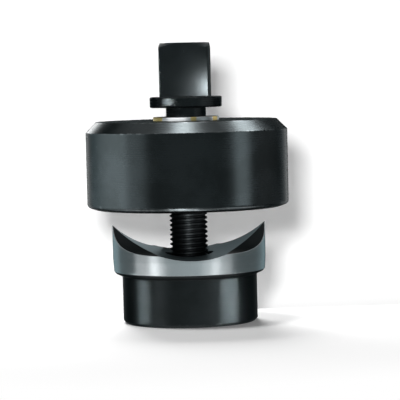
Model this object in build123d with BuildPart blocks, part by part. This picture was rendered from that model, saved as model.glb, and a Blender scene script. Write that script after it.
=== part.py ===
from build123d import *
import os

# Knockout punch that draws a round hole through sheet metal. All sizes are in millimetres.
# The tool stands on the punch's flat foot, with the origin at the foot's centre and Z up
# along the draw stud. The die hangs above the punch, with room for the sheet between them.

# Draw stud: a square drive head, a collar that presses on the bearing, and a coarse thread
thread_diameter = 20.0
stud_length = 95.0
neck_diameter = 21.2
neck_length = 19.0
collar_diameter = 38.2
collar_height = 5.7
head_across_flats = 26.0
head_height = 28.4
head_turn = -6.7
head_cone_angle = 24.0
head_edge_round = 0.6
collar_round = 0.8
shank_point = 2.0

# Punch: the cutting diameter, the two scoops that shape its top, and its body
cut_diameter = 81.2
body_diameter = 71.5
body_height = 24.9
foot_chamfer = 1.5
band_bottom = 26.5
band_relief = 0.45
band_chamfer_width = 0.9
band_chamfer_height = 1.2
relief_start = 1.0
scoop_radius = 57.0
saddle_low = 35.2
facet_low = 37.9
facet_offset = 38.0
mouth_diameter = 25.8
mouth_depth = 2.2
bore_chamfer = 1.2

# Die: a heavy ring with a slug cavity below and a seat for the bearing on top
die_diameter = 107.0
die_height = 46.3
top_chamfer = 5.5
foot_bevel_width = 4.5
foot_bevel_height = 1.5
foot_bevel_round = 2.0
land_height = 8.0
cavity_depth = 24.0
cavity_relief = 0.7
cavity_roof_round = 3.0
seat_depth = 8.6
seat_chamfer = 0.5

# Thrust ball bearing between the collar and the die
bearing_diameter = 35.0
race_thickness = 3.25
race_chamfer = 0.4
race_gap = 4.0
ball_diameter = 5.0
ball_count = 12
cage_thickness = 1.8
cage_rim = 0.45

# How the pieces stand at rest: the die hangs clear of the punch, and the collar is not yet
# down on the bearing
die_bottom = 60.6
collar_gap = 4.9

# Clearances, on the radius
thread_clearance = 0.05
neck_clearance = 0.10
cutting_clearance = 0.20
seat_clearance = 0.10
die_bore_clearance = 0.20
lower_race_clearance = 0.40
ball_clearance = 0.03
pocket_clearance = 0.15

# Heights and radii that follow from the sizes above
die_top = die_bottom + die_height
seat_floor = die_top - seat_depth
lower_race_top = seat_floor + race_thickness
upper_race_bottom = lower_race_top + race_gap
bearing_top = upper_race_bottom + race_thickness
collar_bottom = bearing_top + collar_gap
collar_top = collar_bottom + collar_height
head_top = collar_top + head_height
neck_bottom = collar_bottom - neck_length
stud_end = collar_bottom - stud_length

head_corner_radius = head_across_flats / 2 ** 0.5
thread_radius = thread_diameter / 2
neck_radius = neck_diameter / 2
cut_radius = cut_diameter / 2
body_radius = body_diameter / 2
band_radius = cut_radius - band_relief
die_radius = die_diameter / 2
bearing_radius = bearing_diameter / 2
cavity_radius = cut_radius + cutting_clearance
die_bore_radius = neck_radius + die_bore_clearance
race_bore_radius = neck_radius + neck_clearance
lower_race_bore_radius = neck_radius + lower_race_clearance
ball_circle_radius = (bearing_radius + race_bore_radius) / 2
ball_height = (lower_race_top + upper_race_bottom) / 2
ball_radius = ball_diameter / 2
groove_radius = ball_radius + ball_clearance
pocket_radius = ball_radius + pocket_clearance
cage_reach = pocket_radius + cage_rim

os.makedirs("parts", exist_ok=True)

# Draw stud. The square head is milled from turned bar, so a cone still trims its corners.
with BuildPart() as draw_stud:
    with BuildSketch(Plane.XY.offset(collar_top)):
        Rectangle(head_across_flats, head_across_flats, rotation=head_turn)
    extrude(amount=head_height)
    fillet(draw_stud.edges().filter_by(Axis.Z), radius=head_edge_round)
    with BuildSketch(Plane.XY.offset(head_top)):
        Circle(head_across_flats / 2)
    extrude(amount=-head_height, taper=head_cone_angle - 90, mode=Mode.INTERSECT)
    with BuildSketch(Plane.XY.offset(collar_bottom)):
        Circle(collar_diameter / 2)
    extrude(amount=collar_height)
    stud_rims = draw_stud.edges().filter_by(GeomType.CIRCLE)
    fillet(stud_rims.filter_by(lambda e: e.radius > head_corner_radius), radius=collar_round)
    with BuildSketch(Plane.XY.offset(neck_bottom)):
        Circle(neck_radius)
    extrude(amount=neck_length)
    with BuildSketch(Plane.XY.offset(stud_end)):
        Circle(thread_radius)
    extrude(amount=stud_length - neck_length)
    chamfer(draw_stud.faces().sort_by(Axis.Z)[0].edges(), length=shank_point)
draw_stud.part.label = "draw_stud"
export_step(draw_stud.part, "parts/draw_stud.step")

# Punch. The blank is turned with a ground cutting band, a little smaller below the rim.
# One scoop across it leaves the bright saddle between two tips, and two more scoops along
# the line of the tips relieve the front and back, so that each tip ends as a sharp fin.
blank_top = facet_low + scoop_radius / 2
scoop_length = cut_diameter + 10
with BuildPart() as punch:
    with BuildSketch(Plane.XZ):
        with BuildLine():
            Polyline(
                (0, 0),
                (body_radius - foot_chamfer, 0),
                (body_radius, foot_chamfer),
                (body_radius, body_height),
                (band_radius - band_chamfer_width, band_bottom),
                (band_radius, band_bottom + band_chamfer_height),
                (cut_radius, saddle_low - relief_start),
                (cut_radius, blank_top),
                (0, blank_top),
                close=True,
            )
        make_face()
    revolve(axis=Axis.Z)
    with BuildSketch(Plane.XZ):
        with Locations((0, saddle_low + scoop_radius)):
            Circle(scoop_radius)
    extrude(amount=scoop_length / 2, both=True, mode=Mode.SUBTRACT)
    with BuildSketch(Plane.YZ):
        with Locations(
            (-facet_offset, facet_low + scoop_radius),
            (facet_offset, facet_low + scoop_radius),
        ):
            Circle(scoop_radius)
    extrude(amount=scoop_length / 2, both=True, mode=Mode.SUBTRACT)
    with BuildSketch(Plane.XY.offset(saddle_low - mouth_depth)):
        Circle(mouth_diameter / 2)
    extrude(amount=blank_top, mode=Mode.SUBTRACT)
    with Locations((0, 0, saddle_low - mouth_depth)):
        CounterSinkHole(
            radius=thread_radius + thread_clearance,
            counter_sink_radius=mouth_diameter / 2,
            depth=saddle_low,
            counter_sink_angle=90,
        )
    foot_edges = punch.edges().group_by(Axis.Z)[0]
    chamfer(foot_edges.sort_by(SortBy.RADIUS)[0], length=bore_chamfer)
punch.part.label = "punch"
export_step(punch.part, "parts/punch.step")

# Die. The cutting land is ground to size, and the cavity above it is wider, so that the
# slug drops free. The stud passes through the web, and the bearing sits in the top.
with BuildPart() as die:
    with BuildSketch(Plane.XZ):
        with BuildLine():
            Polyline(
                (cavity_radius, die_bottom),
                (die_radius - foot_bevel_width, die_bottom),
                (die_radius, die_bottom + foot_bevel_height),
                (die_radius, die_top - top_chamfer),
                (die_radius - top_chamfer, die_top),
                (bearing_radius + seat_clearance, die_top),
                (bearing_radius + seat_clearance, seat_floor),
                (die_bore_radius, seat_floor),
                (die_bore_radius, die_bottom + cavity_depth),
                (cavity_radius + cavity_relief, die_bottom + cavity_depth),
                (cavity_radius + cavity_relief, die_bottom + land_height + cavity_relief),
                (cavity_radius, die_bottom + land_height),
                close=True,
            )
        make_face()
    revolve(axis=Axis.Z)
    rims = die.edges().filter_by(GeomType.CIRCLE)
    side_rims = rims.filter_by(lambda e: abs(e.radius - die_radius) < 0.01)
    cavity_rims = rims.filter_by(lambda e: abs(e.radius - cavity_radius - cavity_relief) < 0.01)
    seat_rims = rims.filter_by(lambda e: abs(e.radius - bearing_radius - seat_clearance) < 0.01)
    fillet(side_rims.sort_by(Axis.Z)[0], radius=foot_bevel_round)
    fillet(cavity_rims.sort_by(Axis.Z)[-1], radius=cavity_roof_round)
    chamfer(seat_rims.sort_by(Axis.Z)[-1], length=seat_chamfer)
die.part.label = "die"
export_step(die.part, "parts/die.step")

# Bearing races. Each is a flat washer with a groove for the balls on its inner face.
with BuildPart() as bearing_lower_race:
    with BuildSketch(Plane.XY.offset(seat_floor)):
        Circle(bearing_radius)
        Circle(lower_race_bore_radius, mode=Mode.SUBTRACT)
    extrude(amount=race_thickness)
    with Locations((0, 0, ball_height)):
        Torus(ball_circle_radius, groove_radius, mode=Mode.SUBTRACT)
bearing_lower_race.part.label = "bearing_lower_race"
export_step(bearing_lower_race.part, "parts/bearing_lower_race.step")

with BuildPart() as bearing_upper_race:
    with BuildSketch(Plane.XY.offset(upper_race_bottom)):
        Circle(bearing_radius)
        Circle(race_bore_radius, mode=Mode.SUBTRACT)
    extrude(amount=race_thickness)
    top_edges = bearing_upper_race.edges().group_by(Axis.Z)[-1]
    chamfer(top_edges.sort_by(SortBy.RADIUS)[-1], length=race_chamfer)
    with Locations((0, 0, ball_height)):
        Torus(ball_circle_radius, groove_radius, mode=Mode.SUBTRACT)
bearing_upper_race.part.label = "bearing_upper_race"
export_step(bearing_upper_race.part, "parts/bearing_upper_race.step")

# Cage, a flat ring with a round pocket for each ball
with BuildPart() as bearing_cage:
    with BuildSketch(Plane.XY.offset(ball_height - cage_thickness / 2)):
        Circle(ball_circle_radius + cage_reach)
        Circle(ball_circle_radius - cage_reach, mode=Mode.SUBTRACT)
        with PolarLocations(ball_circle_radius, ball_count):
            Circle(pocket_radius, mode=Mode.SUBTRACT)
    extrude(amount=cage_thickness)
bearing_cage.part.label = "bearing_cage"
export_step(bearing_cage.part, "parts/bearing_cage.step")

# Balls, one solid each, spaced evenly round the grooves
for number, place in enumerate(PolarLocations(ball_circle_radius, ball_count), start=1):
    with BuildPart() as ball:
        with Locations((place.position.X, place.position.Y, ball_height)):
            Sphere(ball_radius)
    ball.part.label = f"bearing_ball_{number:02d}"
    export_step(ball.part, f"parts/{ball.part.label}.step")
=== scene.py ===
# %% [markdown]
# # A knockout punch in Blender
# A knockout punch cuts a round hole in sheet metal. A square-headed draw stud passes through a
# heavy die ring and screws into the punch below, and turning it pulls the punch up into the die.
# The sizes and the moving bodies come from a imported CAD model, and this file gives each piece its
# finished shape and its finish: black oxide over turned steel, a ground cutting band, and a thrust
# bearing.

import math

import bpy
import numpy as np
from mathutils import Matrix, Vector


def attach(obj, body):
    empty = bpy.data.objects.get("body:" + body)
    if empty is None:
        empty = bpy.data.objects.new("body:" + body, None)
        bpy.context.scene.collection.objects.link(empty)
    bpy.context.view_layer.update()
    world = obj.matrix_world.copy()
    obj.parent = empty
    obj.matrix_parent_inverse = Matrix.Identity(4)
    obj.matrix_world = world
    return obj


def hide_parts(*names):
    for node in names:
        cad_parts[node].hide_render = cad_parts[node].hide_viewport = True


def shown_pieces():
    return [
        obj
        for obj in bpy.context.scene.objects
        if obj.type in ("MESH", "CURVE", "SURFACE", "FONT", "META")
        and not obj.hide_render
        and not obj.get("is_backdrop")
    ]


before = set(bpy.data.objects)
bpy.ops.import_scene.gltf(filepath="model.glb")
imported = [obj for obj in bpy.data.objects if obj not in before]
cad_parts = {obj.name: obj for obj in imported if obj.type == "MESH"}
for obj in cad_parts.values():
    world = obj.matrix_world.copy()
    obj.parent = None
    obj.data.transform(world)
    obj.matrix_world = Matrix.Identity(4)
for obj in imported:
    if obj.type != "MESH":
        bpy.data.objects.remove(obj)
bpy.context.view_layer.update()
MM = 0.001


# %% [markdown]
# ## Profiles with soft corners
# Every part of this tool is turned on a lathe, so its shape is a profile of corners (radius,
# height) carried round the axis. A real corner is never perfectly sharp: the small round on it is
# what catches the light. A Bevel modifier could add the rounds, but it treats all edges alike. Here
# each corner has its own radius, worked out on the profile, which also says where an edge can wear.

# %% Round the corners of a profile
ARC_STEPS = 4
CORNER_ROWS = ARC_STEPS + 3
GUARD = 0.5
MOST_OF_SIDE = 0.45
SHORTEST_SIDE = 1e-9
LEAST_ANGLE = 0.05


def soften(corners, radii):
    """Turn each corner into a circular arc with a plain row on each side of it.

    The arc begins and ends one tangent length from the corner, which is radius / tan(half the
    corner's angle), cut to under half of the shorter side. With w the sine of half the angle, the
    arc's points are ((1-s)^2 start + 2 s (1-s) w corner + s^2 end) / ((1-s)^2 + 2 s (1-s) w + s^2)
    for s from 0 to 1. corners is (corner, column, 2), in mm, and so is the result.
    """
    back = np.roll(corners, 1, axis=0) - corners
    ahead = np.roll(corners, -1, axis=0) - corners
    back_length = np.linalg.norm(back, axis=-1, keepdims=True)
    ahead_length = np.linalg.norm(ahead, axis=-1, keepdims=True)
    back = back / np.maximum(back_length, SHORTEST_SIDE)
    ahead = ahead / np.maximum(ahead_length, SHORTEST_SIDE)
    half_angle = np.arccos(np.clip((back * ahead).sum(-1, keepdims=True), -1, 1)) / 2
    room = MOST_OF_SIDE * np.minimum(back_length, ahead_length)
    wanted = radii[:, None, None] / np.tan(np.maximum(half_angle, LEAST_ANGLE))
    tangent = np.minimum(wanted, room)
    guard = np.minimum(tangent + GUARD, np.maximum(room, tangent))
    start, end, weight = corners + back * tangent, corners + ahead * tangent, np.sin(half_angle)
    rows = [corners + back * guard]
    for s in np.linspace(0, 1, ARC_STEPS + 1):
        a, b, c = (1 - s) ** 2, 2 * s * (1 - s) * weight, s**2
        rows.append((a * start + b * corners + c * end) / (a + b + c))
    rows.append(corners + ahead * guard)
    return np.stack(rows, axis=1).reshape(-1, *corners.shape[1:])


def wear_rows(wear):
    """One wear value for each row that soften makes: none on the plain rows, wear on the arc."""
    pattern = np.array([0.0] + [1.0] * (ARC_STEPS + 1) + [0.0])
    return (np.asarray(wear, float)[:, None] * pattern).ravel()


print("rows for each corner:", CORNER_ROWS)

# %% [markdown]
# ## From a grid of points to a mesh
# A turned piece is a grid: one row for each point of the profile, one column for each angle. Where
# rows meet at the axis, or where a thread's rows arrive one pitch higher after a full turn, points
# fall on each other, so they are welded and the collapsed faces dropped. Blender's own smooth
# normals would bend the light on a large face beside a tiny round, so each point gets the average
# of its faces' normals weighted by area, which keeps flat faces flat.

# %% Carry a profile round the axis
def angles_with(extra=(), count=360):
    """Evenly spaced angles from 0 to a full turn, both ends kept, with the extra angles put in."""
    even = np.linspace(0, 2 * math.pi, count + 1)
    inside = np.asarray(extra, float) % (2 * math.pi)
    return np.unique(np.concatenate([even, inside]))


def carry_round(profile, angles):
    """Carry profile[row, column or one] = (radius, height) round: x = r cos a, y = r sin a."""
    cosines, sines = np.cos(angles), np.sin(angles)
    cosines[-1], sines[-1] = cosines[0], sines[0]
    radius, height = profile[..., 0], profile[..., 1]
    xyz = np.broadcast_arrays(radius * cosines, radius * sines, height)
    return np.stack(xyz, axis=-1)


print("columns of a plain ring:", len(angles_with()))

# %% Weld a grid into a closed mesh
WELD = 1e-7
SMALLEST_AREA = 1e-15


def weld(points, faces):
    """Merge points that share a place. Returns the points and faces left, each with indices."""
    _, first, place = np.unique(
        np.round(points / WELD).astype(np.int64), axis=0, return_index=True, return_inverse=True
    )
    faces = place.ravel()[faces]
    same_as_next = faces == np.roll(faces, -1, axis=1)
    whole = np.flatnonzero(same_as_next.sum(1) == 0)
    lists, sources = faces[whole].tolist(), [whole]
    for corner in range(4):
        collapsed = np.flatnonzero((same_as_next.sum(1) == 1) & same_as_next[:, corner])
        lists += np.delete(faces[collapsed], corner, axis=1).tolist()
        sources.append(collapsed)
    return points[first], first, lists, np.concatenate(sources)


def new_object(name, data):
    """An object with this data, linked into the scene."""
    made = bpy.data.objects.new(name, data)
    bpy.context.scene.collection.objects.link(made)
    return made


def grid_piece(name, grid, loops_back, finishes, row_finish, row_wear):
    """Make a piece from grid[row, column] in mm, whose last column lies on its first.

    Rows close into a ring if loops_back. Face normals are half the cross product of the diagonals,
    and a negative volume, the sum of centre . normal / 3, turns every face round. row_finish says
    which of the finishes the faces above each row take, and row_wear how worn the row is.
    """
    rows, columns = grid.shape[:2]
    points = grid.reshape(-1, 3) * MM
    first_rows = np.arange(rows if loops_back else rows - 1)
    row, column = np.meshgrid(first_rows, np.arange(columns - 1), indexing="ij")
    here, above = row * columns + column, (row + 1) % rows * columns + column
    faces = np.stack([here, here + 1, above + 1, above], axis=-1).reshape(-1, 4)
    p = points[faces]
    normal = np.cross(p[:, 2] - p[:, 0], p[:, 3] - p[:, 1]) / 2
    volume = (p.mean(1) * normal).sum() / 3
    if volume < 0:
        faces, normal = faces[:, ::-1], -normal
    face_finish = np.repeat(np.broadcast_to(row_finish, rows)[first_rows], columns - 1)
    point_wear = np.repeat(row_wear, columns)

    kept, first, lists, source = weld(points, faces)
    mesh = bpy.data.meshes.new(name)
    mesh.from_pydata(kept.tolist(), [], lists)
    for finish in finishes:
        mesh.materials.append(finish)
    mesh.polygons.foreach_set("material_index", face_finish[source].astype(np.int32))
    edge = mesh.attributes.new("edge", "FLOAT", "POINT")
    edge.data.foreach_set("value", point_wear[first].astype(np.float32))
    mesh.shade_smooth()

    corner_face = np.repeat(np.arange(len(lists)), [len(face) for face in lists])
    corner_point = np.concatenate([np.asarray(face) for face in lists])
    sums = np.zeros((len(kept), 3))
    np.add.at(sums, corner_point, normal[source][corner_face])
    sums /= np.maximum(np.linalg.norm(sums, axis=1, keepdims=True), SMALLEST_AREA)
    mesh.normals_split_custom_set_from_vertices(sums.tolist())
    mesh.update()

    print(f"{name}: {len(kept)} points, {len(lists)} faces, {abs(volume) / MM**3:.0f} mm3")
    return new_object(name, mesh)


# %% [markdown]
# ## Shader sums in plain Python
# A procedural material is arithmetic on textures. Wired by hand, each + is a Math node and two
# links. The small class below wraps a socket, so that a sum written in Python adds its own nodes.

# %% One class for sockets, and one method for any other node
class Wire:
    """A node's output. Sums and products with it add Math nodes; plain numbers stay plain."""

    def __init__(self, tree, socket=None):
        self.tree, self.socket = tree, socket

    def node(self, kind, settings=None, sockets=None, output=0):
        """Add a node: its settings first, then the value or the link of each socket."""
        made = self.tree.nodes.new(kind)
        for name, value in (settings or {}).items():
            if name == "stops":
                ramp = made.color_ramp
                while len(ramp.elements) < len(value):
                    ramp.elements.new(1.0)
                for element, (position, colour) in zip(ramp.elements, value):
                    element.position, element.color = position, (*colour, 1.0)
            else:
                setattr(made, name, value)
        for name, value in (sockets or {}).items():
            if isinstance(value, Wire):
                self.tree.links.new(value.socket, made.inputs[name])
            else:
                made.inputs[name].default_value = value
        return Wire(self.tree, made.outputs[output] if made.outputs else None)

    def math(self, operation, *values):
        """A Math node on the values."""
        return self.node("ShaderNodeMath", {"operation": operation}, dict(enumerate(values)))

    def __add__(self, other):
        return self.math("ADD", self, other)

    def __sub__(self, other):
        return self.math("SUBTRACT", self, other)

    def __rsub__(self, other):
        return self.math("SUBTRACT", other, self)

    def __mul__(self, other):
        return self.math("MULTIPLY", self, other)

    __radd__, __rmul__ = __add__, __mul__

    def smooth(self, low, high):
        """Go from 0 to 1 in a smooth step while this value goes from low to high."""
        sockets = {"Value": self, "From Min": low, "From Max": high}
        return self.node("ShaderNodeMapRange", {"interpolation_type": "SMOOTHSTEP"}, sockets)

    def between(self, first, second):
        """Mix two colours, this value being the share of the second.

        A Mix node's sockets for the share and the two colours are its 0, 6 and 7.
        """
        colours = [value if isinstance(value, Wire) else (*value, 1.0) for value in (first, second)]
        sockets = {0: self, 6: colours[0], 7: colours[1]}
        return self.node("ShaderNodeMix", {"data_type": "RGBA"}, sockets, output=2)

    def noise(self, scale, detail, roughness):
        """Cloudy noise read at this vector, with features about 1 / scale metres across."""
        sockets = {"Vector": self, "Scale": scale, "Detail": detail, "Roughness": roughness}
        return self.node("ShaderNodeTexNoise", {"noise_dimensions": "3D"}, sockets)

    def stretched(self, x, y, z):
        """This vector with each axis multiplied, which draws a pattern out along the small ones."""
        return self.node("ShaderNodeVectorMath", {"operation": "MULTIPLY"}, {0: self, 1: (x, y, z)})

    def azimuth(self):
        """Angle of this place round the axis, from the front towards the right: atan2(x, -y)."""
        x, y = [self.node("ShaderNodeSeparateXYZ", None, {0: self}, output=axis) for axis in (0, 1)]
        return self.math("ARCTAN2", x, y * -1.0)


# %% A new finish, and how its sockets are set
def new_finish(name):
    """A new metal. Returns the material, its Principled shader and its Object coordinates."""
    material = bpy.data.materials.new(name)
    material.use_nodes = True
    shader = material.node_tree.nodes["Principled BSDF"]
    shader.inputs["Metallic"].default_value = 1.0
    place = Wire(material.node_tree).node("ShaderNodeTexCoord", output="Object")
    return material, shader, place


def connect(shader, **values):
    """Set or link the sockets of a shader; underscores in a name stand for its spaces."""
    for name, value in values.items():
        socket = shader.inputs[name.replace("_", " ")]
        if isinstance(value, Wire):
            value.tree.links.new(value.socket, socket)
        else:
            socket.default_value = value


def bumped(place, height, distance):
    """A normal tilted by height, which is worth distance metres where it goes from 0 to 1."""
    sockets = {"Height": height, "Distance": distance, "Strength": 1.0}
    return place.node("ShaderNodeBump", None, sockets)


# %% [markdown]
# ## Black oxide
# The die, the stud and the punch's body are blackened: a thin oxide that keeps the steel's own
# surface, so the turning marks still show and the light still runs in bands. It isn't paint. Here
# it is a very dark metal with a satin roughness, clouded a little, with the fine rings that a lathe
# tool leaves. A soft edge shows a hint of bare steel where handling has thinned the oxide.

# %% Black oxide over turned, milled and threaded steel
OXIDE_DARK = (0.029, 0.033, 0.034)
OXIDE_LIGHT = (0.037, 0.042, 0.044)
BARE_STEEL = (0.32, 0.34, 0.35)
OXIDE_GRAZING = (0.40, 0.40, 0.40, 1.0)
MOST_RUBBED = 0.35


def black_oxide(name, marks, depth, roughness, anisotropic=0.0):
    """Dark oxide. marks stretches the noise into tool marks, depth is their height in metres."""
    material, shader, place = new_finish(name)
    clouds = place.noise(45, 4, 0.6)
    grain = place.noise(2600, 2, 0.6)
    lines = place.stretched(*marks).noise(1.0, 3, 0.65)
    edge = place.node("ShaderNodeAttribute", {"attribute_name": "edge"}, output="Fac")
    rubbed = edge * place.noise(160, 4, 0.7).smooth(0.5, 0.72) * MOST_RUBBED
    oxide = clouds.smooth(0.35, 0.65).between(OXIDE_DARK, OXIDE_LIGHT)
    connect(
        shader,
        Specular_Tint=OXIDE_GRAZING,
        Anisotropic=anisotropic,
        Anisotropic_Rotation=0.25,
        Base_Color=rubbed.between(oxide, BARE_STEEL),
        Roughness=roughness + (clouds - 0.5) * 0.10 + (lines - 0.5) * 0.06,
        Normal=bumped(place, lines * 0.8 + grain * 0.2, depth),
    )
    return material


turned_black = black_oxide("turned_black_oxide", (6, 6, 1900), 0.000006, 0.27)
milled_black = black_oxide("milled_black_oxide", (500, 500, 30), 0.000003, 0.25)
thread_black = black_oxide("threaded_black_oxide", (120, 120, 120), 0.000004, 0.48, 0.5)
body_black = black_oxide("coarsely_turned_black_oxide", (6, 6, 1500), 0.000006, 0.40, 0.8)
faced_black = black_oxide("ground_and_blackened_relief", (40, 500, 500), 0.000005, 0.34)
print("black finishes:", [made.name for made in bpy.data.materials if "black" in made.name])

# %% [markdown]
# ## Ground steel
# After blackening, the punch's cutting band is ground bright, and the saddle between its tips is
# ground too. The saddle's colour is painted much darker than the band's, as painted shade for the
# dim surroundings that it mirrors. A grinding wheel leaves fine parallel scratches: round the band,
# and along the curve of the saddle. The roughness spreads a lamp's reflection into a soft streak,
# and a stretched noise adds the scratches that the eye can find. Seen at a low angle, plain metal
# mirrors almost like white, so a specular tint keeps the steel's own grey there.

# %% Ground steel for the band and for the saddle
BAND_LIGHT = (0.655, 0.69, 0.705)
BAND_DARK = (0.55, 0.58, 0.595)
# The saddle's two colours are painted much darker than the band's: painted shade for the dim
# surroundings that the saddle mirrors.
SADDLE_SHADED_LIGHT = (0.13, 0.15, 0.16)
SADDLE_SHADED_DARK = (0.09, 0.11, 0.12)
STEEL_GRAZING = (0.68, 0.81, 0.85, 1.0)
SCRATCH_DEPTH = 0.000005


def ground_steel(name, marks, dark, light, roughness):
    """Ground steel. marks stretches the noise along the wheel's direction."""
    material, shader, place = new_finish(name)
    clouds = place.noise(70, 4, 0.6)
    scratches = place.stretched(*marks).noise(1.0, 4, 0.7)
    shade = clouds.smooth(0.3, 0.7) * 0.5 + scratches.smooth(0.3, 0.7) * 0.5
    connect(
        shader,
        Specular_Tint=STEEL_GRAZING,
        Base_Color=shade.between(dark, light),
        Roughness=roughness + (scratches - 0.5) * 0.12 + (clouds - 0.5) * 0.08,
        Normal=bumped(place, scratches, SCRATCH_DEPTH),
    )
    return material


ground_band = ground_steel("ground_band_steel", (25, 25, 3500), BAND_DARK, BAND_LIGHT, 0.23)
# The saddle takes the dark colours, which are painted shade.
ground_saddle = ground_steel("saddle_steel_painted_shade", (60, 2500, 60), SADDLE_SHADED_DARK, SADDLE_SHADED_LIGHT, 0.42)
print("ground finishes:", ground_band.name, ground_saddle.name)

# %% [markdown]
# ## Bearing steel and brass
# The upper race shows as a thin bright ring between the stud's neck and the die. It is ground
# bearing steel with a yellow passivation that has worn through in patches, so gold and silver lie
# side by side. The balls are polished, and the cage that spaces them is brass.

# %% Bearing finishes
SILVER, GOLD = (0.78, 0.79, 0.80), (0.78, 0.60, 0.24)
BALL_DARK, BALL_LIGHT = (0.62, 0.64, 0.66), (0.74, 0.75, 0.76)
BRASS, TARNISH = (0.72, 0.50, 0.19), (0.42, 0.26, 0.10)
FILM_ENDS = [
    0.02, 0.09, 0.17, 0.20, 0.245, 0.365, 0.515, 0.545, 0.64, 0.685, 0.77, 0.80, 0.87, 0.93,
]
FADE = 0.004
POLISH_DEPTH = 0.000004


def passivated_steel(name):
    """Ground steel with a worn yellow film, which is left in patches round the ring.

    The film begins and ends in turn at the film ends, in shares of a turn from the back. Noise
    makes the ends ragged, and each fades over twice FADE.
    """
    material, shader, place = new_finish(name)
    turns = place.azimuth() * (0.5 / math.pi) + 0.5 + (place.noise(220, 3, 0.6) - 0.5) * 0.03
    stops = [(0.0, (0, 0, 0))]
    for number, film_end in enumerate(FILM_ENDS):
        before, after = (number % 2,) * 3, ((number + 1) % 2,) * 3
        stops += [(film_end - FADE, before), (film_end + FADE, after)]
    film = turns.node("ShaderNodeValToRGB", {"stops": stops}, {0: turns})
    rings = place.stretched(30, 30, 2500).noise(1.0, 3, 0.6)
    connect(
        shader,
        Base_Color=film.between(SILVER, GOLD),
        Roughness=0.26 + rings * 0.10 + film * 0.08,
        Normal=bumped(place, rings, POLISH_DEPTH),
    )
    return material


def polished_steel(name):
    """Bright hardened steel with a faint haze from running."""
    material, shader, place = new_finish(name)
    haze = place.noise(350, 4, 0.65)
    connect(
        shader,
        Base_Color=haze.smooth(0.3, 0.7).between(BALL_DARK, BALL_LIGHT),
        Roughness=0.08 + haze * 0.12,
    )
    return material


def stamped_brass(name):
    """Brass, a little browned in cloudy patches and with a fine grain."""
    material, shader, place = new_finish(name)
    tarnish = place.noise(180, 5, 0.65)
    grain = place.noise(3000, 2, 0.5)
    connect(
        shader,
        Base_Color=tarnish.smooth(0.4, 0.75).between(BRASS, TARNISH),
        Roughness=0.24 + tarnish * 0.18,
        Normal=bumped(place, grain, POLISH_DEPTH),
    )
    return material


race_finish = passivated_steel("yellow_passivated_steel")
ball_finish = polished_steel("polished_bearing_steel")
cage_finish = stamped_brass("stamped_brass")
print("bearing finishes:", race_finish.name, ball_finish.name, cage_finish.name)

# %% [markdown]
# ## The die
# The die is one turned ring: a broad chamfer on top, a shallow bevel and a soft round on its foot,
# a stepped cavity below that takes the slug, and a counterbore that seats the bearing. Each line of
# the table is a corner of its profile: radius, height, corner round, and how much the edge can
# wear.

# %% Die
DIE_RADIUS, DIE_BOTTOM, DIE_TOP = 53.5, 60.6, 106.9
LAND_RADIUS, CAVITY_RADIUS, CAVITY_ROOF = 40.8, 41.5, 84.6
DIE_BORE, SEAT_RADIUS, SEAT_FLOOR = 10.8, 17.6, 98.3
DIE_CORNERS = [
    (LAND_RADIUS, DIE_BOTTOM, 0.10, 0.6),
    (DIE_RADIUS - 4.5, DIE_BOTTOM, 0.60, 0.2),
    (DIE_RADIUS, DIE_BOTTOM + 1.5, 2.00, 0.3),
    (DIE_RADIUS, DIE_TOP - 5.5, 0.35, 1.0),
    (DIE_RADIUS - 5.5, DIE_TOP, 0.35, 1.0),
    (SEAT_RADIUS + 0.5, DIE_TOP, 0.15, 0.6),
    (SEAT_RADIUS, DIE_TOP - 0.5, 0.15, 0.3),
    (SEAT_RADIUS, SEAT_FLOOR, 0.30, 0.0),
    (DIE_BORE, SEAT_FLOOR, 0.30, 0.3),
    (DIE_BORE, CAVITY_ROOF, 0.50, 0.3),
    (CAVITY_RADIUS, CAVITY_ROOF, 3.00, 0.0),
    (CAVITY_RADIUS, DIE_BOTTOM + 8.7, 0.40, 0.0),
    (LAND_RADIUS, DIE_BOTTOM + 8.0, 0.30, 0.2),
]


def turned_ring(name, table, finish):
    """A closed ring from a table of corners, softened and carried round the axis."""
    corners = np.array(table)
    profile = soften(corners[:, None, :2], corners[:, 2])
    grid = carry_round(profile, angles_with())
    return grid_piece(name, grid, True, [finish], 0, wear_rows(corners[:, 3]))


die = turned_ring("die_ring", DIE_CORNERS, turned_black)
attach(die, "die_body")
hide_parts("die")

# %% [markdown]
# ## The thread
# A thread is a groove whose profile climbs one pitch each turn. A Screw modifier could sweep it,
# but its end would stop dead. Here the radius is a function of angle and height, and the rows of
# the grid climb with the thread, so that its crests stay crisp. Rows that climb past an end are
# held at it, and a chamfer cone trims them, which is how a real thread fades in at the tip of a
# screw.

# %% Thread profile and the rows that follow it
PITCH = 2.5
FLANK = math.tan(math.radians(30))
SPARE_TURNS = 2


def thread_radius(height, angle, crest, root, half_width):
    """Radius of a 60 degree thread: the crest within half_width of its line, then down the flank.

    With d the height above the nearest crest line, which climbs one pitch each turn, the radius is
    crest - (|d| - half_width) / tan 30, kept between the root and the crest.
    """
    above = height - PITCH * angle / (2 * math.pi)
    nearest = (above + PITCH / 2) % PITCH - PITCH / 2
    return np.clip(crest - (np.abs(nearest) - half_width) / FLANK, root, crest)


def climbing_rows(low, high, angle, steps):
    """Heights of rows that climb one pitch each turn, held between low and high: (row, column)."""
    turns = np.arange(math.floor(low / PITCH) - SPARE_TURNS, math.ceil(high / PITCH) + SPARE_TURNS)
    start = (turns[:, None] * PITCH + np.asarray(steps)[None, :]).reshape(-1, 1)
    return np.clip(start + PITCH * angle / (2 * math.pi), low, high)


print("pitch in mm:", PITCH)

# %% [markdown]
# ## The draw stud
# One bar: a square head with its corners trimmed by a cone, a round collar, a plain neck and the
# threaded shank. The square is not turned, but it is still a radius for each angle, so the whole
# stud is one grid. Extra columns stand at the square's corners, where the radius changes fast.

# %% Profiles that don't close
def profile_row(radius, height, angles):
    """One row of a grid: (radius, height) at every angle, each given as a number or an array."""
    ones = np.ones(len(angles))
    return np.stack([radius * ones, height * ones], axis=-1)


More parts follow.
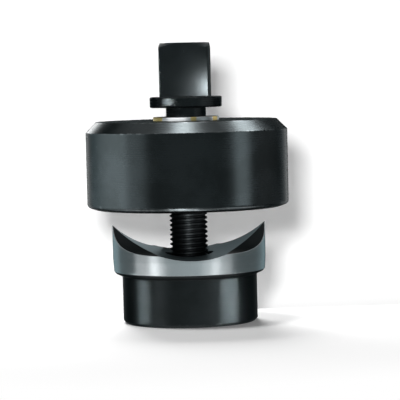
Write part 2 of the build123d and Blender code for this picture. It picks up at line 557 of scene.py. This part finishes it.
def open_profile(table, angles):
    """Soften a table of (radius, height, round, wear) that doesn't close. Returns rows and wear.

    The plain rows outside its two ends are left out.
    """
    corners = np.stack([profile_row(radius, height, angles) for radius, height, _, _ in table])
    rows = soften(corners, np.array([line[2] for line in table]))
    return rows[1:-1], wear_rows([line[3] for line in table])[1:-1]


# %% The square head and the stud's rows
HEAD_HALF, HEAD_ROUND, HEAD_TURN, HEAD_CONE = 13.0, 0.6, math.radians(-6.7), math.radians(24)
STUD_END, NECK_BOTTOM, COLLAR_BOTTOM, COLLAR_TOP, HEAD_TOP = 18.7, 94.7, 113.7, 119.4, 147.8
NECK_RADIUS, COLLAR_RADIUS, STUD_POINT = 10.6, 19.1, 2.0
THREAD_CREST, THREAD_ROOT, CREST_HALF, CREST_ROUND, FLANK_FOOT = 10.0, 8.9, 0.32, 0.07, 0.955
BESIDE_CORNER = [-1.6, -1.33, -1.0, -0.66, -0.33, 0, 0.33, 0.66, 1.0, 1.33, 1.6]
TURNED, MILLED, THREADED = range(3)
TOLERANCE = 0.01


def square_radius(angle):
    """Distance from the axis to a square with round corners, in the direction of angle.

    With f the angle from the nearest flat's middle, it is half / cos f on the flat, and on the
    corner's arc, whose centre is h = half - round from both middle lines, it is
    h (cos f + sin f) + sqrt(round^2 - h^2 (cos f - sin f)^2).
    """
    f = np.abs((angle - HEAD_TURN + math.pi / 4) % (math.pi / 2) - math.pi / 4)
    h = HEAD_HALF - HEAD_ROUND
    under_root = np.maximum(HEAD_ROUND**2 - (h * (np.cos(f) - np.sin(f))) ** 2, 0)
    on_arc = h * (np.cos(f) + np.sin(f)) + np.sqrt(under_root)
    return np.where(HEAD_HALF * np.tan(f) <= h, HEAD_HALF / np.cos(f), on_arc)


def rows_of_stud():
    """The stud from its tip to the top of its head. Returns angles, rows, finishes and wear."""
    corner_lines = HEAD_TURN + math.pi / 4 + np.arange(4) * math.pi / 2
    beside = np.radians(BESIDE_CORNER)
    angles = angles_with((corner_lines[:, None] + beside).ravel(), count=256)

    crest = [-CREST_HALF, CREST_ROUND - CREST_HALF, CREST_HALF - CREST_ROUND, CREST_HALF]
    steps = [-PITCH / 2, -FLANK_FOOT, *crest, FLANK_FOOT]
    height = climbing_rows(STUD_END, NECK_BOTTOM, angles, steps)
    radius = thread_radius(height, angles, THREAD_CREST, THREAD_ROOT, CREST_HALF)
    radius = np.minimum(radius, THREAD_CREST - STUD_POINT + height - STUD_END)
    thread = np.stack([radius, height], axis=-1)

    head = square_radius(angles)
    shoulder = HEAD_TOP - (head - HEAD_HALF) * math.tan(HEAD_CONE)
    table = [
        (THREAD_ROOT, NECK_BOTTOM, 0.0, 0.0),
        (NECK_RADIUS, NECK_BOTTOM, 0.25, 0.5),
        (NECK_RADIUS, COLLAR_BOTTOM, 0.30, 0.0),
        (COLLAR_RADIUS, COLLAR_BOTTOM, 0.80, 0.6),
        (COLLAR_RADIUS, COLLAR_TOP, 0.80, 1.0),
        (head, COLLAR_TOP, 0.30, 0.0),
        (head, shoulder, 0.45, 1.0),
        (HEAD_HALF, HEAD_TOP, 0.60, 0.6),
        (0, HEAD_TOP, 0.0, 0.0),
    ]
    body, body_wear = open_profile(table, angles)
    tip = profile_row(0, STUD_END, angles)[None]
    shank = np.concatenate([tip, thread])
    rows = np.concatenate([shank, body])
    on_head = body[..., 1].min(axis=1) >= COLLAR_TOP - TOLERANCE
    finish = np.concatenate([np.full(len(shank), THREADED), np.where(on_head, MILLED, TURNED)])
    return angles, rows, finish, np.concatenate([np.zeros(len(shank)), body_wear])


# %% Draw stud
stud_angles, stud_rows, stud_finish, stud_wear = rows_of_stud()
stud = grid_piece(
    "stud_with_thread",
    carry_round(stud_rows, stud_angles),
    False,
    [turned_black, milled_black, thread_black],
    stud_finish,
    stud_wear,
)
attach(stud, "stud_body")
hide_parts("draw_stud")

# %% [markdown]
# ## The punch
# Three scoops of the same radius shape the punch's top: one across it leaves the ground saddle, and
# two along the line of the tips relieve the front and the back, so that two sharp fins are left.
# Booleans could cut them, with ragged triangles along the creases. But the top is only the lowest
# of three cylinders, a plain function, so the grid is bent until one of its rows runs in the
# crease.

# %% Heights of the punch's top, and where its creases run
PUNCH_RADIUS, MOUTH_RADIUS, MOUTH_FLOOR = 40.6, 12.9, 33.0
RIM_ROW, MOUTH_ROW = PUNCH_RADIUS - 0.35, MOUTH_RADIUS + 0.4
SCOOP, SADDLE_LOW, FACET_LOW, FACET_OFFSET = 57.0, 35.2, 37.9, 38.0
CREASE_SOFT = 0.03
HALVINGS = 40
BETWEEN_CREASES = math.radians(40)


def saddle_height(x):
    """The scoop across the punch: low + R - sqrt(R^2 - x^2)."""
    return SADDLE_LOW + SCOOP - np.sqrt(SCOOP**2 - x**2)


def facet_height(y):
    """The two scoops in front and behind: low + R - sqrt(R^2 - (|y| - offset)^2)."""
    return FACET_LOW + SCOOP - np.sqrt(SCOOP**2 - (np.abs(y) - FACET_OFFSET) ** 2)


def top_height(radius, angle):
    """The lower of saddle and facet, their crease softened: mean - sqrt(half gap^2 + soft^2)."""
    saddle, facet = saddle_height(radius * np.cos(angle)), facet_height(radius * np.sin(angle))
    return (saddle + facet) / 2 - np.sqrt(((saddle - facet) / 2) ** 2 + CREASE_SOFT**2)


def gap(radius, angle):
    """How far the saddle lies above the facet. It is 0 in the crease."""
    return saddle_height(radius * np.cos(angle)) - facet_height(radius * np.sin(angle))


def bisect(function, low, high):
    """Halve the interval again and again towards the place where function turns positive."""
    for _ in range(HALVINGS):
        middle = (low + high) / 2
        above = function(middle) > 0
        low, high = np.where(above, low, middle), np.where(above, middle, high)
    return (low + high) / 2


def crease_radius(angle):
    """Radius at which the facet becomes lower than the saddle, or the rim where it never does."""
    ones = np.ones(len(angle))
    found = bisect(lambda radius: gap(radius, angle), MOUTH_RADIUS * ones, RIM_ROW * ones)
    return np.where(gap(RIM_ROW, angle) > 0, found, RIM_ROW)


near_tip = float(bisect(lambda angle: gap(RIM_ROW, angle), 0.0, BETWEEN_CREASES))
near_front = float(bisect(lambda angle: -gap(RIM_ROW, angle), BETWEEN_CREASES, math.pi / 2))
print("creases meet the rim at", [round(math.degrees(a), 2) for a in (near_tip, near_front)])

# %% [markdown]
# ## The punch as one grid
# From the foot out and up the body and the band, over the top, and down the threaded bore, the
# punch is one ring of rows that closes on itself. The rows that cross the top are spaced between
# the rim, the crease and the mouth of the bore, with three close rows on each side of the crease.
# So each face lies wholly on a facet or on the saddle, and can take its own finish.

# %% The punch's rows
BODY_RADIUS, FOOT_BORE, BAND_FOOT = 35.75, 11.25, 27.6
STEPS_ACROSS = 16
BORE_RADIUS, BORE_CREST, BORE_CREST_HALF, BORE_FLANK_FOOT = 10.05, 9.0, 0.36, 0.966
BESIDE_CREASE = np.array([0.30, 0.12, 0.04, 0.0, -0.04, -0.12, -0.30])[:, None]
BODY, BAND, FACET, SADDLE = range(4)


def rows_of_punch():
    """The punch from its foot round to its bore. Returns angles, rows, finishes and wear."""
    quarter = np.array([near_tip, near_front])
    angles = angles_with(np.concatenate([quarter, math.pi - quarter, math.pi + quarter, -quarter]))
    table = [
        (FOOT_BORE, 0.0, 0.0, 0.0),
        (BODY_RADIUS - 1.5, 0.0, 0.25, 0.6),
        (BODY_RADIUS, 1.5, 0.40, 0.6),
        (BODY_RADIUS, 24.9, 0.50, 0.0),
        (39.25, 26.5, 0.20, 0.0),
        (40.15, 27.7, 0.25, 0.0),
        (PUNCH_RADIUS, 34.2, 1.50, 0.0),
        (PUNCH_RADIUS, top_height(PUNCH_RADIUS, angles), 0.12, 0.0),
        (RIM_ROW, top_height(RIM_ROW, angles), 0.0, 0.0),
    ]
    outer, outer_wear = open_profile(table, angles)

    crease = crease_radius(angles)
    share = np.linspace(0, 1, STEPS_ACROSS + 1)[:, None]
    nearest, farthest = crease + BESIDE_CREASE[0], crease + BESIDE_CREASE[-1]
    facet_side = RIM_ROW + (nearest - RIM_ROW) * share[:-1]
    saddle_side = farthest + (MOUTH_ROW - farthest) * share[1:]
    radius = np.concatenate([facet_side, crease + BESIDE_CREASE, saddle_side])
    radius = np.clip(radius, MOUTH_ROW, RIM_ROW)
    top = np.stack([radius, top_height(radius, angles)], axis=-1)

    # The first corner of the mouth is the last row of the top, so it is left out here.
    mouth_table = [
        (MOUTH_ROW, top_height(MOUTH_ROW, angles), 0.0, 0.0),
        (MOUTH_RADIUS, top_height(MOUTH_RADIUS, angles), 0.15, 0.0),
        (MOUTH_RADIUS, MOUTH_FLOOR, 0.0, 0.0),
    ]
    mouth = open_profile(mouth_table, angles)[0][CORNER_ROWS - 1 :]

    steps = [-PITCH / 2, -BORE_FLANK_FOOT, -BORE_CREST_HALF, BORE_CREST_HALF, BORE_FLANK_FOOT]
    height = climbing_rows(0.0, MOUTH_FLOOR, angles, steps)[::-1]
    thread = thread_radius(height, angles, BORE_RADIUS, BORE_CREST, BORE_CREST_HALF)
    sunk = MOUTH_RADIUS + height - MOUTH_FLOOR
    bore = np.stack([np.maximum.reduce([thread, sunk, FOOT_BORE - height]), height], axis=-1)

    facets = len(facet_side) + (BESIDE_CREASE > 0).sum()
    finish = [
        np.where(outer[:, 0, 1] > BAND_FOOT, BAND, BODY),
        np.full(facets, FACET),
        np.full(len(top) - facets, SADDLE),
        np.full(len(mouth) + len(bore), BODY),
    ]
    inner = [top, mouth, bore]
    wear = np.concatenate([outer_wear, np.zeros(sum(map(len, inner)))])
    return angles, np.concatenate([outer, *inner]), np.concatenate(finish), wear


# %% Punch
punch_angles, punch_rows, punch_finish, punch_wear = rows_of_punch()
punch = grid_piece(
    "punch_with_thread",
    carry_round(punch_rows, punch_angles),
    True,
    [body_black, ground_band, faced_black, ground_saddle],
    punch_finish,
    punch_wear,
)
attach(punch, "punch_body")
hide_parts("punch")

# %% [markdown]
# ## The thrust bearing
# The stud's collar presses on the upper race, the balls roll between the two races, and the lower
# race sits in the die. Each race is a flat washer with a groove for the balls in its inner face.
# The balls and the cage are true to shape in the CAD model, so they stay and only get their finish.

# %% Races, balls and cage
RACE_RADIUS, BALL_CIRCLE, BALL_HEIGHT, GROOVE = 17.5, 14.1, 103.55, 2.53
GROOVE_CORNERS = 7


def race(name, bore, back, face, body):
    """A washer between the heights back and face, with a groove of the ball's radius in its face.

    The groove's corners lie on its circle, at r = middle + R sin a and z = middle +- R cos a.
    """
    reach = math.sqrt(GROOVE**2 - (face - BALL_HEIGHT) ** 2)
    sweep = np.linspace(-1, 1, GROOVE_CORNERS) * math.asin(reach / GROOVE)
    radii = BALL_CIRCLE + GROOVE * np.sin(sweep)
    heights = BALL_HEIGHT + np.sign(face - BALL_HEIGHT) * GROOVE * np.cos(sweep)
    table = [
        (bore, back, 0.25, 0.3),
        (bore, face, 0.15, 0.0),
        *((radius, height, 0.05, 0.0) for radius, height in zip(radii, heights)),
        (RACE_RADIUS, face, 0.15, 0.0),
        (RACE_RADIUS, back, 0.40, 0.5),
    ]
    ring = turned_ring(name + "_ring", table, race_finish)
    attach(ring, body)
    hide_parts(name)
    return ring


upper_race = race("bearing_upper_race", 10.7, 108.8, 105.55, "upper_race_body")
lower_race = race("bearing_lower_race", 11.0, SEAT_FLOOR, 101.55, "die_body")
bearing = [upper_race, lower_race]

for name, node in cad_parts.items():
    finish = ball_finish if "ball" in name else cage_finish if "cage" in name else None
    if finish:
        node.data.materials.clear()
        node.data.materials.append(finish)
        bearing.append(node)
print("pieces of the bearing:", len(bearing))

# %% [markdown]
# ## The camera
# The photograph was taken from about a metre away with a long lens, a little above the die's top:
# the die's rim is seen almost edge on, while the punch's foot opens into a rounder ellipse. The
# camera stands at that height, a few degrees to the left, and is rolled slightly.

# %% Camera
DISTANCE, EYE_HEIGHT, AZIMUTH = 1.100, 0.130, math.radians(-3)
PIXELS, FOCAL_PIXELS, SENSOR = 400, 2072.0, 36.0
ROLL = math.radians(1.35)
TARGET_RIGHT, TARGET_HEIGHT = 0.00637, 0.06425
UP = Vector((0, 0, 1))

camera_data = bpy.data.cameras.new("photo_camera")
camera_data.sensor_width = SENSOR
camera_data.lens = FOCAL_PIXELS / PIXELS * SENSOR
camera_data.clip_start, camera_data.clip_end = 0.05, 60.0
camera = bpy.context.scene.camera = new_object("photo_camera", camera_data)

eye = Vector((DISTANCE * math.sin(AZIMUTH), -DISTANCE * math.cos(AZIMUTH), EYE_HEIGHT))
sideways = Vector((math.cos(AZIMUTH), math.sin(AZIMUTH), 0))
towards = (sideways * TARGET_RIGHT + UP * TARGET_HEIGHT - eye).normalized()
right = towards.cross(UP).normalized()
up = right.cross(towards)
rolled_up = up * math.cos(ROLL) + right * math.sin(ROLL)
rolled_right = right * math.cos(ROLL) - up * math.sin(ROLL)
turn = Matrix((rolled_right, rolled_up, -towards)).transposed().to_4x4()
camera.matrix_world = Matrix.Translation(eye) @ turn
print("lens in mm:", round(camera_data.lens, 1))

# %% [markdown]
# ## Floor and backdrop
# The object stands on white paper that curves up close behind it, so its soft shadow falls on the
# paper at the right and below. Near the object the paper is a real surface, with lamps of its own.
# Farther away it fades into plain white, so that no edge of it shows. Polished metal would mirror
# the paper and its lamps, so both are hidden from reflections, which see a tent instead.

# %% White paper
WHITE_PAPER = (0.86, 0.86, 0.86, 1)
PAPER_GLOW = 0.12
PLAIN_FROM, PLAIN_TO, PLAIN_CENTRE = 0.14, 0.26, (0, 0, 0.075)


def empty_material(name):
    """A node material with nothing in it. Returns it and a wire to start sums from."""
    material = bpy.data.materials.new(name)
    material.use_nodes = True
    material.node_tree.nodes.clear()
    return material, Wire(material.node_tree)


def glow(start, colour, strength=1.0):
    """Light of one colour, or of a wired one."""
    return start.node("ShaderNodeEmission", None, {"Color": colour, "Strength": strength})


def seen_rays(start):
    """1 for camera, glossy and transmission rays, 0 for the rays that carry soft light."""
    camera_ray, glossy_ray, clear_ray = [
        start.node("ShaderNodeLightPath", output=f"Is {kind} Ray")
        for kind in ("Camera", "Glossy", "Transmission")
    ]
    total = camera_ray + glossy_ray + clear_ray
    return total.math("MINIMUM", total, 1.0)


def paper_material(name):
    """White paper near the object, which turns into plain white light farther away.

    Only the side that faces the camera shows, so that the paper can be looked through from behind.
    """
    material, start = empty_material(name)
    place = start.node("ShaderNodeNewGeometry", output="Position")
    sockets = {0: place, 1: PLAIN_CENTRE}
    centre = start.node("ShaderNodeVectorMath", {"operation": "DISTANCE"}, sockets, "Value")
    seen = seen_rays(start)
    plain = start.node("ShaderNodeBsdfDiffuse", None, {"Color": WHITE_PAPER})
    own_light = glow(start, (1, 1, 1, 1), seen * PAPER_GLOW)
    lit = start.node("ShaderNodeAddShader", None, {0: plain, 1: own_light})
    away = centre.smooth(PLAIN_FROM, PLAIN_TO) * seen
    light = glow(start, (1, 1, 1, 1))
    front = start.node("ShaderNodeMixShader", None, {0: away, 1: lit, 2: light})
    behind = start.node("ShaderNodeNewGeometry", output="Backfacing")
    clear = start.node("ShaderNodeBsdfTransparent")
    sided = start.node("ShaderNodeMixShader", None, {0: behind, 1: front, 2: clear})
    start.node("ShaderNodeOutputMaterial", None, {"Surface": sided})
    return material


paper = paper_material("white_paper")
print("paper:", paper.name)

# %% Floor and cove
FLOOR_REACH = 30.0
COVE_BACK, COVE_BEND, COVE_TOP, COVE_HALF, COVE_LIFT = 0.095, 0.065, 0.60, 0.6, 0.0002
COVE_START, COVE_STEPS = 12, 18


def stage_mesh(name, points, faces, material):
    """A stage piece from arrays of points in metres and faces."""
    mesh = bpy.data.meshes.new(name)
    mesh.from_pydata(np.asarray(points).tolist(), [], np.asarray(faces).tolist())
    mesh.materials.append(material)
    mesh.shade_smooth()
    sheet = new_object(name, mesh)
    sheet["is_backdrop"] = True
    return sheet


floor_points = np.array([(-1, -1, 0), (1, -1, 0), (1, 1, 0), (-1, 1, 0)]) * FLOOR_REACH
floor = stage_mesh("floor", floor_points, [(0, 1, 2, 3)], paper)

# The cove is a quarter circle without its lowest 12 degrees, which would shade into a crease on the
# floor, and then stands upright. Its faces look at the camera.
bend = np.radians(np.linspace(COVE_START, 90, COVE_STEPS + 1))
cove_y = np.append(COVE_BACK - COVE_BEND + COVE_BEND * np.sin(bend), COVE_BACK)
cove_z = np.append(COVE_BEND * (np.cos(bend[0]) - np.cos(bend)), COVE_TOP) + COVE_LIFT
cove_x = np.tile([-COVE_HALF, COVE_HALF], len(cove_y))
cove_points = np.stack([cove_x, np.repeat(cove_y, 2), np.repeat(cove_z, 2)], axis=-1)
strip = np.arange(len(cove_y) - 1)[:, None] * 2
cove = stage_mesh("cove", cove_points, strip + np.array([0, 1, 3, 2]), paper)
floor.visible_glossy = cove.visible_glossy = False
cove.visible_shadow = cove.visible_diffuse = False
print("floor faces:", len(floor.data.polygons), "cove faces:", len(cove.data.polygons))

# %% [markdown]
# ## White surroundings
# The photo's background is pure white. So the world is white where it is seen, but gives only a
# tenth of that as light, as a bright world would wash out the shadow.

# %% White surroundings
ROOM_LIGHT = 0.10
world = bpy.data.worlds.new("white_room")
bpy.context.scene.world = world
world.use_nodes = True
sky_strength = seen_rays(Wire(world.node_tree)) * (1 - ROOM_LIGHT) + ROOM_LIGHT
connect(world.node_tree.nodes["Background"], Color=(1, 1, 1, 1), Strength=sky_strength)
print("world:", world.name)

# %% [markdown]
# ## What the metal mirrors
# Black satin steel is drawn by its reflections. They see a round tent, which is dark so that the
# pieces stay black, and lighter behind at both sides, for their thin light rims. Two small black
# cards work as flags: one hides what the saddle would mirror beside the stud, and the other stands
# in the way of a lamp. The camera sees neither the tent nor the cards.

# %% The tent that only reflections see
TENT_REACH = 2.5
TENT_STEPS = 72
TENT_TINT = (0.84, 1.0, 1.03)
TENT_GREYS = [
    (-180, 0.1), (-168, 0.1), (-160, 0.4), (-140, 0.4), (-125, 0.15), (-70, 0.12), (-40, 0.24),
    (-15, 0.30), (20, 0.34), (50, 0.22), (75, 0.12), (118, 0.12), (132, 0.2), (155, 0.4),
    (163, 0.1), (180, 0.1),
]


def tent(name, stops):
    """A round wall whose glow depends on its azimuth: stops of (degrees from the camera, grey).

    The ramp reads fract((azimuth - the camera's) / 360 + 1.5), which is 0.5 at the camera's side.
    """
    a = np.radians(np.linspace(-180, 180, TENT_STEPS + 1)) + AZIMUTH
    x, y = TENT_REACH * np.sin(a), -TENT_REACH * np.cos(a)
    walls = [np.column_stack([x, y, np.full(len(a), side * TENT_REACH)]) for side in (-1, 1)]
    index = np.arange(TENT_STEPS)
    faces = np.stack([index, index + 1, index + 1 + len(a), index + len(a)], axis=-1)
    material, start = empty_material(name)
    place = start.node("ShaderNodeNewGeometry", output="Position")
    turns = (place.azimuth() - AZIMUTH) * (0.5 / math.pi) + 1.5
    share = turns.math("FRACT", turns)
    ramp = [
        (0.5 + degrees / 360, tuple(tint * grey for tint in TENT_TINT)) for degrees, grey in stops
    ]
    colour = share.node("ShaderNodeValToRGB", {"stops": ramp}, {0: share})
    start.node("ShaderNodeOutputMaterial", None, {"Surface": glow(start, colour)})
    wall = stage_mesh(name, np.concatenate(walls), faces, material)
    wall.visible_camera = wall.visible_diffuse = False
    wall.visible_shadow = wall.visible_transmission = False
    return wall


tent_wall = tent("tent", TENT_GREYS)
print("tent faces:", len(tent_wall.data.polygons))

# %% Two black cards
def black_card(name, corners, glossy):
    """A black card, in mm. It is seen in reflections, or it only stands in the way of a lamp."""
    black, start = empty_material(name)
    start.node("ShaderNodeOutputMaterial", None, {"Surface": glow(start, (0, 0, 0, 1))})
    card = stage_mesh(name, np.array(corners) * MM, [(0, 1, 2, 3)], black)
    card.visible_camera = card.visible_diffuse = card.visible_transmission = False
    card.visible_glossy, card.visible_shadow = glossy, not glossy
    print(name, "size in mm:", [round(length / MM, 1) for length in card.dimensions])
    return card


# At the back of the saddle, which mirrors it on both sides of the stud.
black_card("saddle_card", [(-12, 41, 36), (12, 41, 36), (12, 41, 60), (-12, 41, 60)], True)

# Just above the collar, to keep the head's own lamp off it.
collar_card = black_card(
    "collar_card", [(-40, -58, 119.9), (60, -58, 119.9), (60, -20, 119.9), (-40, -20, 119.9)], False
)

# %% [markdown]
# ## One lamp for each highlight
# A photographer lights polished steel with strip lights, mirrors and flags, one for each highlight.
# Here each highlight has an area lamp, and Blender's light linking says which pieces it lights and
# which pieces cast its shadow. A lamp on the metal is only a reflection, and a lamp on the paper
# gives only soft light. Some highlights end sharply above and below: their lamps stand close and
# send out almost parallel light, so that the lamp's own edge cuts it off, and several side by side
# blend into one.

# %% A lamp, and a fan of lamps with parallel light
WHITE, COOL = (1, 1, 1), (0.90, 0.98, 1.0)
PARALLEL_SPREAD = 6


def only(name, pieces):
    """A collection of pieces for light linking."""
    group = bpy.data.collections.new(name)
    for piece in pieces:
        group.objects.link(piece)
    return group


def lamp(
    name, azimuth, elevation, size, radiance, lit, distance=0.60, aim=(0, 0, 75), colour=WHITE,
    spread=180, blockers=None,
):
    """A rectangular lamp that faces aim, in mm, and lights only the pieces in lit.

    Azimuth is in degrees from the camera and distance in metres. The power is radiance x pi x area,
    times 1 - h / tan h for h half of the spread, which keeps the radiance along the lamp's axis.
    The blockers cast its shadows: the tool's pieces, where no others are named.
    """
    a, e = math.radians(azimuth) + AZIMUTH, math.radians(elevation)
    direction = Vector((math.sin(a) * math.cos(e), -math.cos(a) * math.cos(e), math.sin(e)))
    half = math.radians(spread) / 2
    data = bpy.data.lights.new(name, "AREA")
    data.shape = "RECTANGLE"
    data.size, data.size_y = size
    data.energy = radiance * math.pi * size[0] * size[1] * (1 - half / math.tan(half))
    data.color = colour
    data.spread = math.radians(spread)
    made = new_object(name, data)
    made.location = Vector(aim) * MM + direction * distance
    made.rotation_euler = direction.to_track_quat("Z", "Y").to_euler()
    on_paper = lit[0] in (floor, cove)
    made.visible_diffuse, made.visible_glossy = on_paper, not on_paper
    made.visible_camera = made.visible_transmission = False
    made.light_linking.receiver_collection = only(name + "_lights", lit)
    made.light_linking.blocker_collection = only(name + "_shadows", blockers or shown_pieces())
    print(f"{name}: {data.energy:.3f} W")


def fan(
    name, azimuths, elevation, size, radiance, lit, distance, aim, colour=WHITE, width=math.inf
):
    """Lamps with almost parallel light, side by side. Their names are numbered from 1.

    The radiance falls from the fan's middle as exp(-(degrees from it / width)^2).
    """
    middle = sum(azimuths) / len(azimuths)
    for number, azimuth in enumerate(azimuths, start=1):
        share = math.exp(-(((azimuth - middle) / width) ** 2))
        lamp(
            f"{name}_{number}", azimuth, elevation, size, radiance * share, lit, distance, aim,
            colour, PARALLEL_SPREAD,
        )


# %% Lamps for the paper
FOOT = (0, 0, 0)
lamp("paper_key", -5.3, 11, (0.14, 0.14), 164, [cove], 1.0)
lamp("cove_high", -155, 70, (0.45, 0.45), 6.0, [cove], 0.8, FOOT)
lamp("paper_top", -170, 28, (0.36, 0.36), 27.0, [floor], 0.8, FOOT, blockers=[punch])
lamp("paper_high", -85, 72, (0.22, 0.22), 19.5, [floor], 0.8, FOOT, blockers=[punch])

# %% Lamps for the die and the bearing
lamp("die_left", -104, 2, (0.78, 0.70), 3.2, [die], colour=COOL)
lamp("die_left_edge", -60, 2, (0.30, 0.60), 1.3, [die], colour=COOL)
lamp("die_right", 62, 8, (0.19, 0.40), 3.3, [die], colour=COOL)
lamp("die_right_side", 105, 0, (0.50, 0.40), 0.3, [die])
lamp("die_overhead", -15, 84, (0.11, 0.22), 27.0, [die])
lamp("die_left_back", -155, 18, (0.14, 0.18), 12.0, [die])
lamp("die_right_back", 113, 52, (0.12, 0.18), 28.0, [die])
lamp("die_rim_left", -146, 0, (0.26, 0.40), 1.6, [die])
lamp("die_rim_right", 143, 0, (0.26, 0.40), 2.0, [die])
lamp("die_under", -10, -50, (0.14, 0.40), 24.0, [die])
lamp("die_under_far", -10, -88, (0.16, 0.40), 12.0, [die])
lamp("die_under_left", -100, -45, (0.60, 0.24), 2.4, [die])
lamp("die_under_right", 75, -45, (0.50, 0.24), 3.0, [die])
lamp("bearing_front", -34, 14, (0.80, 0.30), 1.8, bearing)
lamp("bearing_right", 116, 14, (0.30, 0.30), 1.1, bearing)

# %% Lamps for the stud
# The collar's fan reaches past the head's top, so that its edge doesn't cross the head's face.
HEAD, HEAD_CORNER, SHANK, SHANK_FRONT = (0, 0, 135.5), (7, -13, 126), (0, 0, 50), (0, -9, 47)
fan("collar_left", range(-73, -40, 8), 0, (0.050, 0.042), 170.0, [stud], 0.060, HEAD, width=12)
lamp(
    "head_front", 4, -3, (0.013, 0.006), 94.05, [stud], 0.048, HEAD_CORNER, spread=70,
    blockers=[*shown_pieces(), collar_card],
)
lamp("head_back", 180, 32, (0.40, 0.30), 2.0, [stud])
lamp("stud_right", 70, 0, (0.50, 0.40), 0.30, [stud])
lamp("stud_front", 0, -12, (0.045, 0.06), 19.0, [stud], 0.15, SHANK)
lamp("thread_right", 82, -10, (0.40, 0.08), 1.8, [stud], 0.30, SHANK)
lamp("thread_above", 0, 80, (0.0093, 0.0093), 17.0, [stud], 0.030, SHANK_FRONT)
lamp("thread_below", 0, -80, (0.014, 0.014), 17.0, [stud], 0.045, SHANK_FRONT)

# %% Lamps for the punch
# The two fans' light ends at the body's top, so that the step above it stays dark.
BODY_SIZE, BODY_DISTANCE, BODY_AIM = (0.090, 0.045), 0.095, (0, 0, 5.7)
fan("punch_left", range(-96, -77, 6), -6, BODY_SIZE, 108.0, [punch], BODY_DISTANCE, BODY_AIM, COOL)
fan("punch_right", range(59, 84, 6), -6, BODY_SIZE, 196.0, [punch], BODY_DISTANCE, BODY_AIM, COOL)
lamp("punch_back", 166, 5, (0.32, 0.16), 1.0, [punch])
lamp("punch_above", 0, 90, (0.100, 0.100), 0.35, [punch], 0.002, (0, 0, 57))
# The band's wide lamps stand a little behind its narrow ones, so that no two share a plane.
lamp("band_left", -53.5, -20, (0.14, 0.30), 0.95, [punch])
lamp("band_left_wide", -62, -20, (0.56, 0.30), 0.55, [punch], 0.61)
lamp("band_right", 39, -20, (0.13, 0.30), 0.65, [punch])
lamp("band_right_wide", 42, -20, (0.50, 0.30), 0.40, [punch], 0.61)
lamp("band_front", -8, -20, (0.60, 0.30), 0.16, [punch], 0.62)

# %% [markdown]
# ## Picture settings and the end
# The Standard view shows each colour as it is written.

# %% Picture settings, and the end
bpy.context.scene.view_settings.view_transform = "Standard"
